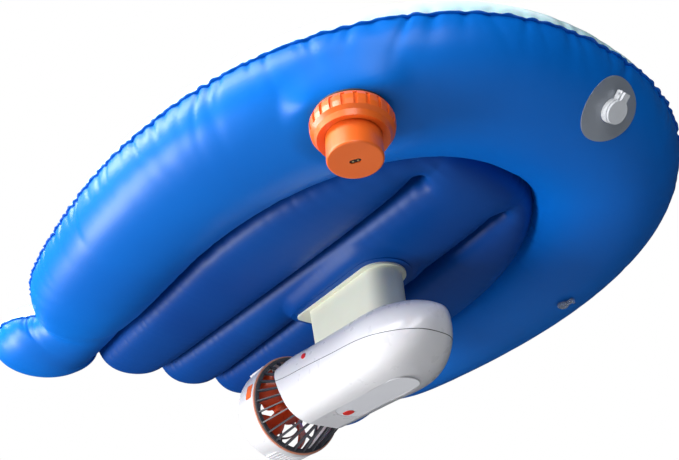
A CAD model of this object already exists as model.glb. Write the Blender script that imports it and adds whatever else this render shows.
"""Looks of the inflatable float with the underwater scooter docked under its floor."""
import math
import bpy
import numpy as np
from mathutils import Matrix, Vector


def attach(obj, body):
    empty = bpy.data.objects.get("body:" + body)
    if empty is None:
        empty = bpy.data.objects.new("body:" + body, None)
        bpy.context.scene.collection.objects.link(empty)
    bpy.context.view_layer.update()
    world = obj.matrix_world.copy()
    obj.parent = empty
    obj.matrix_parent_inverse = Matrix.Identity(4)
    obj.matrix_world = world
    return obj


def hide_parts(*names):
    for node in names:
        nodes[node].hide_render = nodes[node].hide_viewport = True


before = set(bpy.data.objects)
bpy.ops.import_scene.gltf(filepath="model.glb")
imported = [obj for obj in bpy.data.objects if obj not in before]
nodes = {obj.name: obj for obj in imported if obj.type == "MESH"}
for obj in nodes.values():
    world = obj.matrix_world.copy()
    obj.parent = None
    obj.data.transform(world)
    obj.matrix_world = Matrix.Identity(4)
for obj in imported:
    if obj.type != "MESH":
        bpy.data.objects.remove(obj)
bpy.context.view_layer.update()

# ---------------------------------------------------------------- dimensions shared with the CAD, in metres
SEAM_Z = 0.213
BOW_CENTRE_X = -0.080
BOW_LENGTH = 0.457
BOW_HALF_WIDTH = 0.271
BOW_POWER = 2.3
BOW_KNOTS = 18
TUBE_HALF_WIDTH = 0.079
TUBE_HALF_HEIGHT = 0.060
TUBE_ROWS = 1100
# centre x, centre y, half width, half height of each straight arm, from the bow to the tail tip
ARM = ((-0.140, 0.271, 0.0785, 0.059), (-0.200, 0.269, 0.075, 0.056), (-0.250, 0.262, 0.066, 0.049),
       (-0.295, 0.2525, 0.055, 0.040), (-0.335, 0.259, 0.062, 0.043), (-0.370, 0.270, 0.074, 0.048),
       (-0.405, 0.271, 0.074, 0.047), (-0.435, 0.268, 0.059, 0.038), (-0.450, 0.266, 0.036, 0.024),
       (-0.456, 0.265, 0.012, 0.009))
TIP_MIN = (0.010, 0.008)
TIP = 0.0003
POD = (0.308, -0.202)
POD_HOLE_R = 0.0275
SEAT_Z = 0.158
TOP_SEAT_Z = 0.249
SEAT_GAP = 0.0002


# ---------------------------------------------------------------- small tools
def ramp(value, low, high):
    """Smooth step from 0 at low to 1 at high; low may be the larger."""
    t = np.clip((value - low) / (high - low), 0, 1)
    return t * t * (3 - 2 * t)


def grid_mesh(name, points, keep=None, flip=False, closed=False):
    """Object from a grid of points (rows, columns, 3); keep masks its cells."""
    rows, cols = points.shape[:2]
    index = np.arange(rows * cols).reshape(rows, cols)
    if closed:
        index = np.concatenate([index, index[:, :1]], 1)
    quads = np.stack([index[:-1, :-1], index[:-1, 1:], index[1:, 1:], index[1:, :-1]], -1)
    if keep is not None:
        quads = quads[keep]
    quads = quads.reshape(-1, 4)
    if flip:
        quads = quads[:, ::-1]
    mesh = bpy.data.meshes.new(name)
    mesh.from_pydata(points.reshape(-1, 3).tolist(), [], quads.tolist())
    mesh.validate()
    mesh.shade_smooth()
    obj = bpy.data.objects.new(name, mesh)
    bpy.context.collection.objects.link(obj)
    return obj


def finish_piece(obj, body, material):
    obj.data.materials.clear()
    obj.data.materials.append(material)
    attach(obj, body)
    return obj


# ---------------------------------------------------------------- materials
def new_material(name):
    material = bpy.data.materials.new(name)
    material.use_nodes = True
    tree = material.node_tree
    tree.nodes.clear()
    out = tree.nodes.new("ShaderNodeOutputMaterial")
    shader = tree.nodes.new("ShaderNodeBsdfPrincipled")
    tree.links.new(shader.outputs[0], out.inputs[0])
    return material, tree, shader


def noise(tree, scale, detail=3.0, coordinates="Object"):
    place = tree.nodes.new("ShaderNodeTexCoord")
    texture = tree.nodes.new("ShaderNodeTexNoise")
    texture.inputs["Scale"].default_value = scale
    texture.inputs["Detail"].default_value = detail
    tree.links.new(place.outputs[coordinates], texture.inputs["Vector"])
    return texture.outputs["Fac"]


def blend_colours(tree, factor, low, high, start=0.3, stop=0.7):
    band = tree.nodes.new("ShaderNodeValToRGB")
    band.color_ramp.elements[0].position = start
    band.color_ramp.elements[1].position = stop
    band.color_ramp.elements[0].color = (*low, 1)
    band.color_ramp.elements[1].color = (*high, 1)
    tree.links.new(factor, band.inputs[0])
    return band.outputs[0]


def bump(tree, height, strength, distance, before=None):
    node = tree.nodes.new("ShaderNodeBump")
    node.inputs["Strength"].default_value = strength
    node.inputs["Distance"].default_value = distance
    tree.links.new(height, node.inputs["Height"])
    if before is not None:
        tree.links.new(before, node.inputs["Normal"])
    return node.outputs[0]


def moulded(name, low, high, rough, grain=900.0, depth=0.00004, coat=0.0, spec=0.5, sub=0.0):
    """Moulded plastic: faint colour drift, fine grain and slightly uneven gloss."""
    material, tree, shader = new_material(name)
    tree.links.new(blend_colours(tree, noise(tree, 9.0), low, high), shader.inputs["Base Color"])
    spread = tree.nodes.new("ShaderNodeMapRange")
    spread.inputs["To Min"].default_value = rough * 0.85
    spread.inputs["To Max"].default_value = rough * 1.2
    tree.links.new(noise(tree, 60.0), spread.inputs["Value"])
    tree.links.new(spread.outputs[0], shader.inputs["Roughness"])
    tree.links.new(bump(tree, noise(tree, grain, 2.0), 0.35, depth), shader.inputs["Normal"])
    shader.inputs["Coat Weight"].default_value = coat
    shader.inputs["Coat Roughness"].default_value = 0.12
    shader.inputs["Specular IOR Level"].default_value = spec
    shader.inputs["Subsurface Weight"].default_value = sub
    shader.inputs["Subsurface Scale"].default_value = 0.004
    return material


def vinyl(name, low, high, rough, coat=0.4, sub=0.0):
    """Welded PVC sheet: soft gloss, slow colour drift, faint calender ripple."""
    material, tree, shader = new_material(name)
    tree.links.new(blend_colours(tree, noise(tree, 3.5, 2.0), low, high), shader.inputs["Base Color"])
    ripple = bump(tree, noise(tree, 38.0, 2.0), 0.30, 0.0006)
    fine = bump(tree, noise(tree, 1400.0, 2.0), 0.25, 0.00003, ripple)
    tree.links.new(fine, shader.inputs["Normal"])
    shader.inputs["Roughness"].default_value = rough
    shader.inputs["Coat Weight"].default_value = coat
    shader.inputs["Coat Roughness"].default_value = 0.22
    shader.inputs["Specular IOR Level"].default_value = 0.2
    shader.inputs["Subsurface Weight"].default_value = sub
    shader.inputs["Subsurface Scale"].default_value = 0.01
    return material


def metal(name, colour, rough):
    material, tree, shader = new_material(name)
    dark = tuple(c * 0.8 for c in colour)
    tree.links.new(blend_colours(tree, noise(tree, 120.0), dark, colour), shader.inputs["Base Color"])
    shader.inputs["Metallic"].default_value = 1.0
    shader.inputs["Roughness"].default_value = rough
    tree.links.new(bump(tree, noise(tree, 1500.0), 0.2, 0.00003), shader.inputs["Normal"])
    return material


def clear_vinyl(name, tint, rough, transmission):
    material, tree, shader = new_material(name)
    tree.links.new(blend_colours(tree, noise(tree, 30.0), tint, tuple(min(1, c * 1.05) for c in tint)),
                   shader.inputs["Base Color"])
    shader.inputs["Roughness"].default_value = rough
    shader.inputs["Transmission Weight"].default_value = transmission
    shader.inputs["IOR"].default_value = 1.5
    shader.inputs["Coat Weight"].default_value = 0.5
    tree.links.new(bump(tree, noise(tree, 220.0), 0.2, 0.0002), shader.inputs["Normal"])
    return material


blue = vinyl("blue_vinyl", (0.0, 0.125, 0.56), (0.0, 0.165, 0.68), 0.38, coat=0.05)
navy = vinyl("floor_vinyl", (0.0, 0.045, 0.26), (0.0, 0.075, 0.35), 0.44, coat=0.0)
blue_weld = vinyl("blue_weld", (0.0, 0.08, 0.46), (0.0, 0.14, 0.62), 0.42, coat=0.1)
aqua = vinyl("aqua_vinyl", (0.50, 0.80, 0.88), (0.62, 0.88, 0.94), 0.32, sub=0.25)
orange = moulded("orange_plastic", (0.86, 0.13, 0.012), (0.93, 0.17, 0.02), 0.36, 1200, 0.00005, 0.2)
trim_orange = moulded("trim_orange", (0.90, 0.34, 0.22), (0.95, 0.44, 0.30), 0.4)
red = moulded("red_plastic", (0.80, 0.06, 0.012), (0.92, 0.12, 0.02), 0.3, coat=0.3)
leaf_red = moulded("leaf_red", (0.72, 0.015, 0.01), (0.82, 0.03, 0.015), 0.34)
white = moulded("white_gloss", (0.73, 0.72, 0.745), (0.78, 0.77, 0.79), 0.28, 500, 0.00001, 0.3, sub=0.05)
label = moulded("label_film", (0.78, 0.78, 0.82), (0.84, 0.84, 0.87), 0.45)
cream = moulded("bracket_cream", (0.76, 0.77, 0.63), (0.83, 0.84, 0.70), 0.4, sub=0.15)
dark_grey = moulded("cage_grey", (0.045, 0.05, 0.06), (0.075, 0.08, 0.095), 0.42)
black = moulded("black_plastic", (0.008, 0.008, 0.009), (0.02, 0.02, 0.022), 0.4)
rubber = moulded("seal_rubber", (0.02, 0.02, 0.022), (0.035, 0.035, 0.04), 0.6)
clear = clear_vinyl("clear_vinyl", (0.80, 0.84, 0.90), 0.12, 0.75)
patch_clear = clear_vinyl("patch_vinyl", (0.42, 0.46, 0.52), 0.3, 0.45)
milky = clear_vinyl("milky_vinyl", (0.86, 0.88, 0.92), 0.25, 0.15)
steel = metal("machined_steel", (0.62, 0.63, 0.65), 0.28)
gold = metal("gold_plate", (0.95, 0.72, 0.35), 0.2)
copper = metal("copper_wire", (0.75, 0.36, 0.18), 0.35)
cell_wrap = moulded("cell_wrap", (0.02, 0.16, 0.07), (0.03, 0.22, 0.10), 0.35)
laminate = moulded("laminate", (0.01, 0.09, 0.04), (0.015, 0.12, 0.06), 0.4)

CAD_FINISH = {
    orange: ("pod_housing", "pod_grip_nut", "pod_top_cap", "lock_tab"),
    trim_orange: ("nozzle_trim", "power_button"),
    red: ("propeller",),
    leaf_red: ("release_button_starboard", "release_button_port", "keel_button"),
    white: ("upper_shell", "lower_shell", "nozzle_ring"),
    label: ("label_plate",),
    cream: ("dock_bracket",),
    dark_grey: ("guard_cage", "outlet_guard", "dock_rail", "cell_holder", "rear_bulkhead", "bearing_plate"),
    black: ("charge_port_insert",),
    rubber: ("pod_gasket", "shell_gasket", "shaft_seal"),
    clear: ("drain_valve_stem", "drain_valve_plug"),
    patch_clear: ("valve_patch",),
    milky: ("valve_stem", "valve_plug"),
    gold: ("charge_pins",),
    copper: ("stator_windings",),
    steel: ("propeller_shaft", "propeller_nut", "motor_screws", "rail_screws", "rear_bearing",
            "front_bearing", "valve_hinge_pin", "stator_core", "rotor_core", "rotor_magnets",
            "motor_housing"),
    cell_wrap: ("battery_cells", "pod_battery"),
    laminate: ("pod_board", "control_board", "board_components"),
    blue: ("tube_lower_skin", "pod_sleeve"),
    navy: ("floor_lower_skin", "mount_patch"),
    blue_weld: ("perimeter_weld",),
    aqua: ("tube_upper_skin", "floor_upper_skin"),
}
for material, names in CAD_FINISH.items():
    for name in names:
        mesh = nodes[name].data
        mesh.materials.clear()
        mesh.materials.append(material)


# ---------------------------------------------------------------- float: tube
def tube_rows(count):
    """Smooth stations along the tube, port tail to starboard tail: x, y, half width, half height."""
    port = [(x, y, w, h) for x, y, w, h in reversed(ARM)]
    bow = []
    for i in range(BOW_KNOTS + 1):
        angle = math.pi / 2 - math.pi * i / BOW_KNOTS
        c, s = math.cos(angle), math.sin(angle)
        x = BOW_LENGTH * math.copysign(abs(c) ** (2 / BOW_POWER), c)
        y = BOW_HALF_WIDTH * math.copysign(abs(s) ** (2 / BOW_POWER), s)
        bow.append((BOW_CENTRE_X + x, y, TUBE_HALF_WIDTH, TUBE_HALF_HEIGHT))
    starboard = [(x, -y, w, h) for x, y, w, h in ARM]
    knots = np.array(port + bow + starboard)
    steps = np.linalg.norm(np.diff(knots[:, :2], axis=0), axis=1)
    along = np.concatenate([[0], np.cumsum(steps)])
    slope = np.gradient(knots, along, axis=0)
    slope[[0, -1], :2] = 0
    t = np.linspace(0, along[-1], count)
    cell = np.clip(np.searchsorted(along, t, "right") - 1, 0, len(along) - 2)
    span = (along[cell + 1] - along[cell])[:, None]
    u = ((t - along[cell])[:, None]) / span
    a, b = knots[cell], knots[cell + 1]
    ma, mb = slope[cell] * span, slope[cell + 1] * span
    rows = ((2 * u**3 - 3 * u**2 + 1) * a + (u**3 - 2 * u**2 + u) * ma
            + (3 * u**2 - 2 * u**3) * b + (u**3 - u**2) * mb)
    rows[:, 2:] = np.maximum(rows[:, 2:], TIP_MIN)
    # the last ring on each end closes the tail
    rows[[0, -1], 2:] = TIP
    return rows, t


PUCKER_WIDTH = (0.0016, 0.0040)
PUCKER_LEAN = 0.35
PUCKER_WINDOW = 0.05
PUCKER_SPREAD = 0.03


def puckers(t, depth_from_seam, seed, spacing, size, reach):
    """Short wrinkles that start at a weld and fade into the skin, as depth in metres."""
    rng = np.random.default_rng(seed)
    total = np.zeros(np.broadcast(t, depth_from_seam).shape)
    place = t.min()
    while place < t.max():
        place += rng.uniform(*spacing)
        width = rng.uniform(*PUCKER_WIDTH)
        height = rng.uniform(*size)
        length = rng.uniform(*reach)
        lean = rng.uniform(-PUCKER_LEAN, PUCKER_LEAN)
        near = np.abs(t[:, 0] - place) < PUCKER_WINDOW
        local = t[near] - place - lean * depth_from_seam[near]
        spread = width * (1 + depth_from_seam[near] / PUCKER_SPREAD)
        total[near] += height * np.exp(-((local / spread) ** 2)) * np.exp(-depth_from_seam[near] / length)
    return total


rows, run = tube_rows(TUBE_ROWS)
tangent = np.gradient(rows[:, :2], axis=0)
tangent[0] = rows[3, :2] - rows[0, :2]
tangent[-1] = rows[-1, :2] - rows[-4, :2]
tangent /= np.linalg.norm(tangent, axis=1)[:, None]
outward = np.stack([-tangent[:, 1], tangent[:, 0]], 1)
ANGLES = np.linspace(0, math.pi, 49)
ARC_RADIUS = 0.074
SEED = 11
# spacing, depth and reach of the wrinkles
OUTER_PUCKERS = ((0.008, 0.026), (0.0008, 0.0030), (0.010, 0.030))
INNER_PUCKERS = ((0.018, 0.06), (0.0008, 0.003), (0.010, 0.03))
NECK_FOLDS = ((0.012, 0.02), (0.002, 0.005), (0.03, 0.08))
NECK_X = -0.295
NECK_LENGTH = 0.03
FULL_DENT_HEIGHT = 0.05
ROUNDNESS = 0.96
LOWER_COLLAR = (0.0385, 0.066)
UPPER_COLLAR = (0.031, 0.052)
COLLAR_SIDE_FADE = (0.050, 0.074)


def tube_skin(side, seed):
    x, y, w, h = (rows[:, k][:, None] for k in range(4))
    a = ANGLES[None, :]
    from_outer = a * ARC_RADIUS
    from_inner = (math.pi - a) * ARC_RADIUS
    t = run[:, None] + 0 * a
    dent = puckers(t, from_outer + 0 * t, seed, *OUTER_PUCKERS)
    dent += puckers(t, from_inner + 0 * t, seed + 7, *INNER_PUCKERS)
    neck = np.exp(-(((x - NECK_X) / NECK_LENGTH) ** 2))
    folds = puckers(t, from_outer + 0 * t, seed + 3, *NECK_FOLDS)
    dent = dent + folds * neck
    scale = np.clip(h / FULL_DENT_HEIGHT, 0, 1)
    dent = dent * scale
    off = np.cos(a) * (w - dent)
    drop = np.sin(a) ** ROUNDNESS * (h - dent)
    px = x + outward[:, 0][:, None] * off
    py = y + outward[:, 1][:, None] * off
    pz = SEAM_Z + side * drop
    # the skin is pressed flat under the pod's nut and cap
    reach = np.hypot(px - POD[0], py - POD[1])
    depth = SEAM_Z - SEAT_Z + SEAT_GAP if side < 0 else TOP_SEAT_Z - SEAM_Z + SEAT_GAP
    seat = SEAM_Z + side * depth
    press = 1 - (ramp(reach, *LOWER_COLLAR) if side < 0 else ramp(reach, *UPPER_COLLAR))
    press = press * (1 - ramp(np.abs(off), *COLLAR_SIDE_FADE))
    pz = pz * (1 - press) + seat * press
    cells = reach[:-1, :-1] > POD_HOLE_R
    points = np.stack([px, py, pz], -1)
    return points, cells


for side, name, node, material, slot in ((-1, "tube_lower_sheet", "tube_lower_skin", blue, "skin_blue"),
                                         (1, "tube_upper_sheet", "tube_upper_skin", aqua, "skin_pale")):
    points, cells = tube_skin(side, SEED)
    piece = grid_mesh(name, points, cells, flip=side > 0)
    finish_piece(piece, "float", material)
    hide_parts(node)


# ---------------------------------------------------------------- float: outer weld strip
# reach out from the seam and height of each corner of the strip's section
STRIP_SECTION = ((-0.0015, 0.0005), (0.0014, 0.0004), (0.0026, 0.0002), (0.0026, -0.0002),
                 (0.0014, -0.0004), (-0.0015, -0.0005))
STRIP_REACH = 0.0026
FOLLOW_PUCKERS = 0.7


def weld_piece():
    x, y, w = rows[:, 0], rows[:, 1], rows[:, 2]
    ring = np.stack([x, y], 1) + outward * w[:, None]
    flow = np.gradient(ring, axis=0)
    flow /= np.linalg.norm(flow, axis=1)[:, None]
    out = np.stack([-flow[:, 1], flow[:, 0]], 1)
    t = run[:, None]
    inset = puckers(t, np.zeros_like(t), SEED, *OUTER_PUCKERS)[:, 0]
    rng = np.random.default_rng(5)
    phase = rng.uniform(0, 6.28, 4)
    wave = 0.0004 * np.sin(run * 420 + phase[0]) + 0.0003 * np.sin(run * 690 + phase[1])
    lift = 0.0005 * np.sin(run * 310 + phase[2]) + 0.0004 * np.sin(run * 530 + phase[3])
    points = np.zeros((len(x), len(STRIP_SECTION), 3))
    for k, (reach, z) in enumerate(STRIP_SECTION):
        edge = ring + out * (reach - inset * FOLLOW_PUCKERS + wave * (reach > 0))[:, None]
        points[:, k, :2] = edge
        points[:, k, 2] = SEAM_Z + z + lift * max(reach, 0) / STRIP_REACH
    return grid_mesh("outer_weld_strip", points, closed=True)


weld = finish_piece(weld_piece(), "float", blue_weld)
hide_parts("perimeter_weld")


# ---------------------------------------------------------------- float: quilted floor
FRONT_X = 0.306
REAR_X = -0.379
REAR_SCALLOP = 0.015
WELD_START_X = -0.385
WELD_END_X = 0.235
MID_WELD_END_X = 0.05
WELD_REAR_Y = 0.097
WELD_FRONT_Y = 0.060
FLOOR_HALF_WIDTH = 0.2005
CREASE_HALF_WIDTH = 0.1965
CREASE_LENGTH = 0.3765
FLOOR_CELLS = (250, 168)
LOOP_AHEAD = 0.002
LOOP_SIZE = (0.0075, 0.0055)
SCREEN_LENGTH = 0.075
SWEEPS = 2600
PILLOW_FULLNESS = 0.92
WELD_FILLET = 0.0035
PLATEAU_HEIGHT = 0.047
PLATEAU_RANGE = 0.032
WRINKLES_X = (-0.37, 0.29, 0.019)
WRINKLE_DEPTH = 0.0016
WRINKLE_FADE = 0.014
EDGE_WRINKLE_FADE = 0.016
PAD_X = (-0.030, 0.092)
PAD_HALF_STRAIGHT = 0.006
PAD_R = 0.034
PAD_BLEND = 0.020
PAD_HEIGHT = 0.0437
HIGHEST = 0.0525
SKIN_OFFSET = 0.0004


def weld_line(x):
    """Distance from the middle of the two outer floor welds, which run together towards the bow."""
    ahead = np.clip(x, WELD_START_X, WELD_END_X) - WELD_START_X
    return WELD_REAR_Y + ahead * (WELD_FRONT_Y - WELD_REAR_Y) / (WELD_END_X - WELD_START_X)


def crease(x):
    """Half width of the floor where it meets the tube."""
    ahead = np.clip((x - BOW_CENTRE_X) / CREASE_LENGTH, 0, 1)
    return CREASE_HALF_WIDTH * (1 - ahead**BOW_POWER) ** (1 / BOW_POWER)


def floor_grid():
    count_x, count_y = FLOOR_CELLS
    s = np.linspace(0, 1, count_x)[:, None]
    t = np.linspace(-2, 2, count_y + 1)[None, :]
    start = REAR_X - REAR_SCALLOP * np.abs(np.sin(math.pi * t))
    x = start + s * (FRONT_X - start)
    line = weld_line(x)
    outer = np.sign(t) * (line + (np.abs(t) - 1) * (FLOOR_HALF_WIDTH - line))
    return x, np.where(np.abs(t) < 1, t * line, outer)


def pillow_height(x, y):
    """Height of an inflated sheet tied down along its welds, from a relaxed membrane."""
    tied = np.zeros(x.shape, bool)
    middle = x.shape[1] // 2
    quarter = x.shape[1] // 4
    tied[0] = tied[-1] = True
    tied[:, 0] = tied[:, -1] = True
    tied |= np.abs(y) > crease(x)
    for column, end in ((middle, MID_WELD_END_X), (quarter, WELD_END_X),
                        (x.shape[1] - 1 - quarter, WELD_END_X)):
        tied[:, column] |= x[:, column] < end
    loop = np.hypot((x - WELD_END_X - LOOP_AHEAD) / LOOP_SIZE[0], (np.abs(y) - weld_line(x)) / LOOP_SIZE[1])
    tied |= loop < 1
    dx = np.gradient(x, axis=0)
    dy = np.gradient(y, axis=1)
    ax, ay = 1 / dx**2, 1 / dy**2
    damp = 1 / SCREEN_LENGTH**2
    whole = 2 * ax + 2 * ay + damp
    level = np.zeros(x.shape)
    free = ~tied[1:-1, 1:-1]
    for _ in range(SWEEPS):
        inner = (1 + ax[1:-1, 1:-1] * (level[2:, 1:-1] + level[:-2, 1:-1])
                 + ay[1:-1, 1:-1] * (level[1:-1, 2:] + level[1:-1, :-2])) / whole[1:-1, 1:-1]
        level[1:-1, 1:-1] = np.where(free, inner, 0)
    return PILLOW_FULLNESS * np.sqrt(2 * level)


FLOOR_X, FLOOR_Y = floor_grid()
FLOOR_RISE = pillow_height(FLOOR_X, FLOOR_Y)


def floor_skin(side):
    rounded = np.sqrt(FLOOR_RISE**2 + WELD_FILLET**2) - WELD_FILLET
    rise = PLATEAU_HEIGHT * np.tanh(rounded / PLATEAU_RANGE)
    x, y = FLOOR_X, FLOOR_Y
    rng = np.random.default_rng(21 + side)
    # short wrinkles square to the welds
    from_line = np.abs(np.abs(y) - weld_line(x))
    from_edge = np.abs(crease(x) - np.abs(y))
    fade = np.exp(-from_line / WRINKLE_FADE) + np.exp(-np.abs(y) / WRINKLE_FADE) * (x < MID_WELD_END_X)
    fade = fade + 0.8 * np.exp(-from_edge / EDGE_WRINKLE_FADE)
    ripple = np.zeros_like(x)
    for place in np.arange(*WRINKLES_X):
        centre = place + rng.uniform(-0.006, 0.006)
        ripple += rng.uniform(0.3, 1.0) * np.exp(-(((x - centre) / rng.uniform(0.002, 0.0045)) ** 2))
    rise = np.maximum(rise - WRINKLE_DEPTH * ripple * fade * np.clip(rise / 0.008, 0, 1), 0)
    if side < 0:
        # flat pad under the bracket
        px = np.clip(x, *PAD_X)
        across = np.maximum(np.abs(y) - PAD_HALF_STRAIGHT, 0)
        gap = np.maximum(np.hypot(x - px, across) - PAD_R, 0)
        pad = 1 - ramp(gap, 0.0, PAD_BLEND)
        rise = rise * (1 - pad) + PAD_HEIGHT * pad
    rise = np.minimum(rise, HIGHEST)
    return np.stack([x, y, SEAM_Z + side * (rise + SKIN_OFFSET)], -1)


for side, name, node, material, slot in ((-1, "floor_lower_sheet", "floor_lower_skin", navy, "skin_blue"),
                                         (1, "floor_upper_sheet", "floor_upper_skin", aqua, "skin_pale")):
    piece = grid_mesh(name, floor_skin(side), flip=side < 0)
    finish_piece(piece, "float", material)
    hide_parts(node)


# ---------------------------------------------------------------- stage, light and camera
FLOOR_Z = -2.2
FLOOR_REACH = 6
CAMERA_PLACE = (0.645, -0.478, -0.252)
CAMERA_TURN = 52.90
CAMERA_RISE = 33.92
CAMERA_ROLL = -3.64
CAMERA_LENS = 36.05


def area_light(name, place, target, size, power):
    data = bpy.data.lights.new(name, "AREA")
    data.shape = "RECTANGLE"
    data.size, data.size_y = size
    data.energy = power
    obj = bpy.data.objects.new(name, data)
    obj.location = place
    obj.rotation_euler = (Vector(target) - Vector(place)).to_track_quat("-Z", "Y").to_euler()
    bpy.context.collection.objects.link(obj)


def make_floor():
    steps = np.linspace(-FLOOR_REACH, FLOOR_REACH, 25)
    gx, gy = np.meshgrid(steps, steps, indexing="ij")
    floor = grid_mesh("studio_floor", np.stack([gx, gy, np.full_like(gx, FLOOR_Z)], -1), flip=True)
    material, tree, shader = new_material("studio_floor")
    tree.links.new(blend_colours(tree, noise(tree, 0.4), (0.84, 0.85, 0.86), (0.88, 0.88, 0.89)),
                   shader.inputs["Base Color"])
    shader.inputs["Roughness"].default_value = 0.8
    floor.data.materials.append(material)


def make_world():
    world = bpy.data.worlds.new("studio")
    bpy.context.scene.world = world
    world.use_nodes = True
    tree = world.node_tree
    tree.nodes.clear()
    out = tree.nodes.new("ShaderNodeOutputWorld")
    seen = tree.nodes.new("ShaderNodeBackground")
    seen.inputs[0].default_value = (1, 1, 1, 1)
    seen.inputs[1].default_value = 1.0
    lit = tree.nodes.new("ShaderNodeBackground")
    lit.inputs[0].default_value = (0.6, 0.8, 1.0, 1)
    lit.inputs[1].default_value = 0.05
    path = tree.nodes.new("ShaderNodeLightPath")
    mix = tree.nodes.new("ShaderNodeMixShader")
    tree.links.new(path.outputs["Is Camera Ray"], mix.inputs[0])
    tree.links.new(lit.outputs[0], mix.inputs[1])
    tree.links.new(seen.outputs[0], mix.inputs[2])
    tree.links.new(mix.outputs[0], out.inputs[0])


def make_camera():
    turn, rise, roll = math.radians(CAMERA_TURN), math.radians(CAMERA_RISE), math.radians(CAMERA_ROLL)
    side = Vector((math.cos(turn), math.sin(turn), 0))
    ahead = Vector((-math.sin(turn) * math.cos(rise), math.cos(turn) * math.cos(rise), math.sin(rise)))
    above = side.cross(ahead)
    right = side * math.cos(roll) + above * math.sin(roll)
    up = above * math.cos(roll) - side * math.sin(roll)
    data = bpy.data.cameras.new("camera")
    data.lens = CAMERA_LENS
    data.sensor_width = 36.0
    data.clip_start = 0.01
    obj = bpy.data.objects.new("camera", data)
    axes = Matrix((right, up, -ahead)).transposed().to_4x4()
    obj.matrix_world = Matrix.Translation(CAMERA_PLACE) @ axes
    bpy.context.collection.objects.link(obj)
    bpy.context.scene.camera = obj


make_floor()
make_world()
make_camera()
area_light("key", (-0.15, -1.85, 0.95), (0.05, -0.3, 0.2), (2.4, 0.6), 80)
area_light("low", (-0.95, -1.5, -0.55), (-0.05, -0.2, 0.12), (1.2, 0.5), 38)
area_light("front", (1.6, -1.3, 0.2), (0.25, -0.1, 0.1), (0.9, 0.9), 14)
area_light("overhead", (0.0, 0.0, 2.6), (0.0, 0.0, 0.2), (2.8, 2.8), 34)
bpy.context.scene.view_settings.view_transform = "Standard"
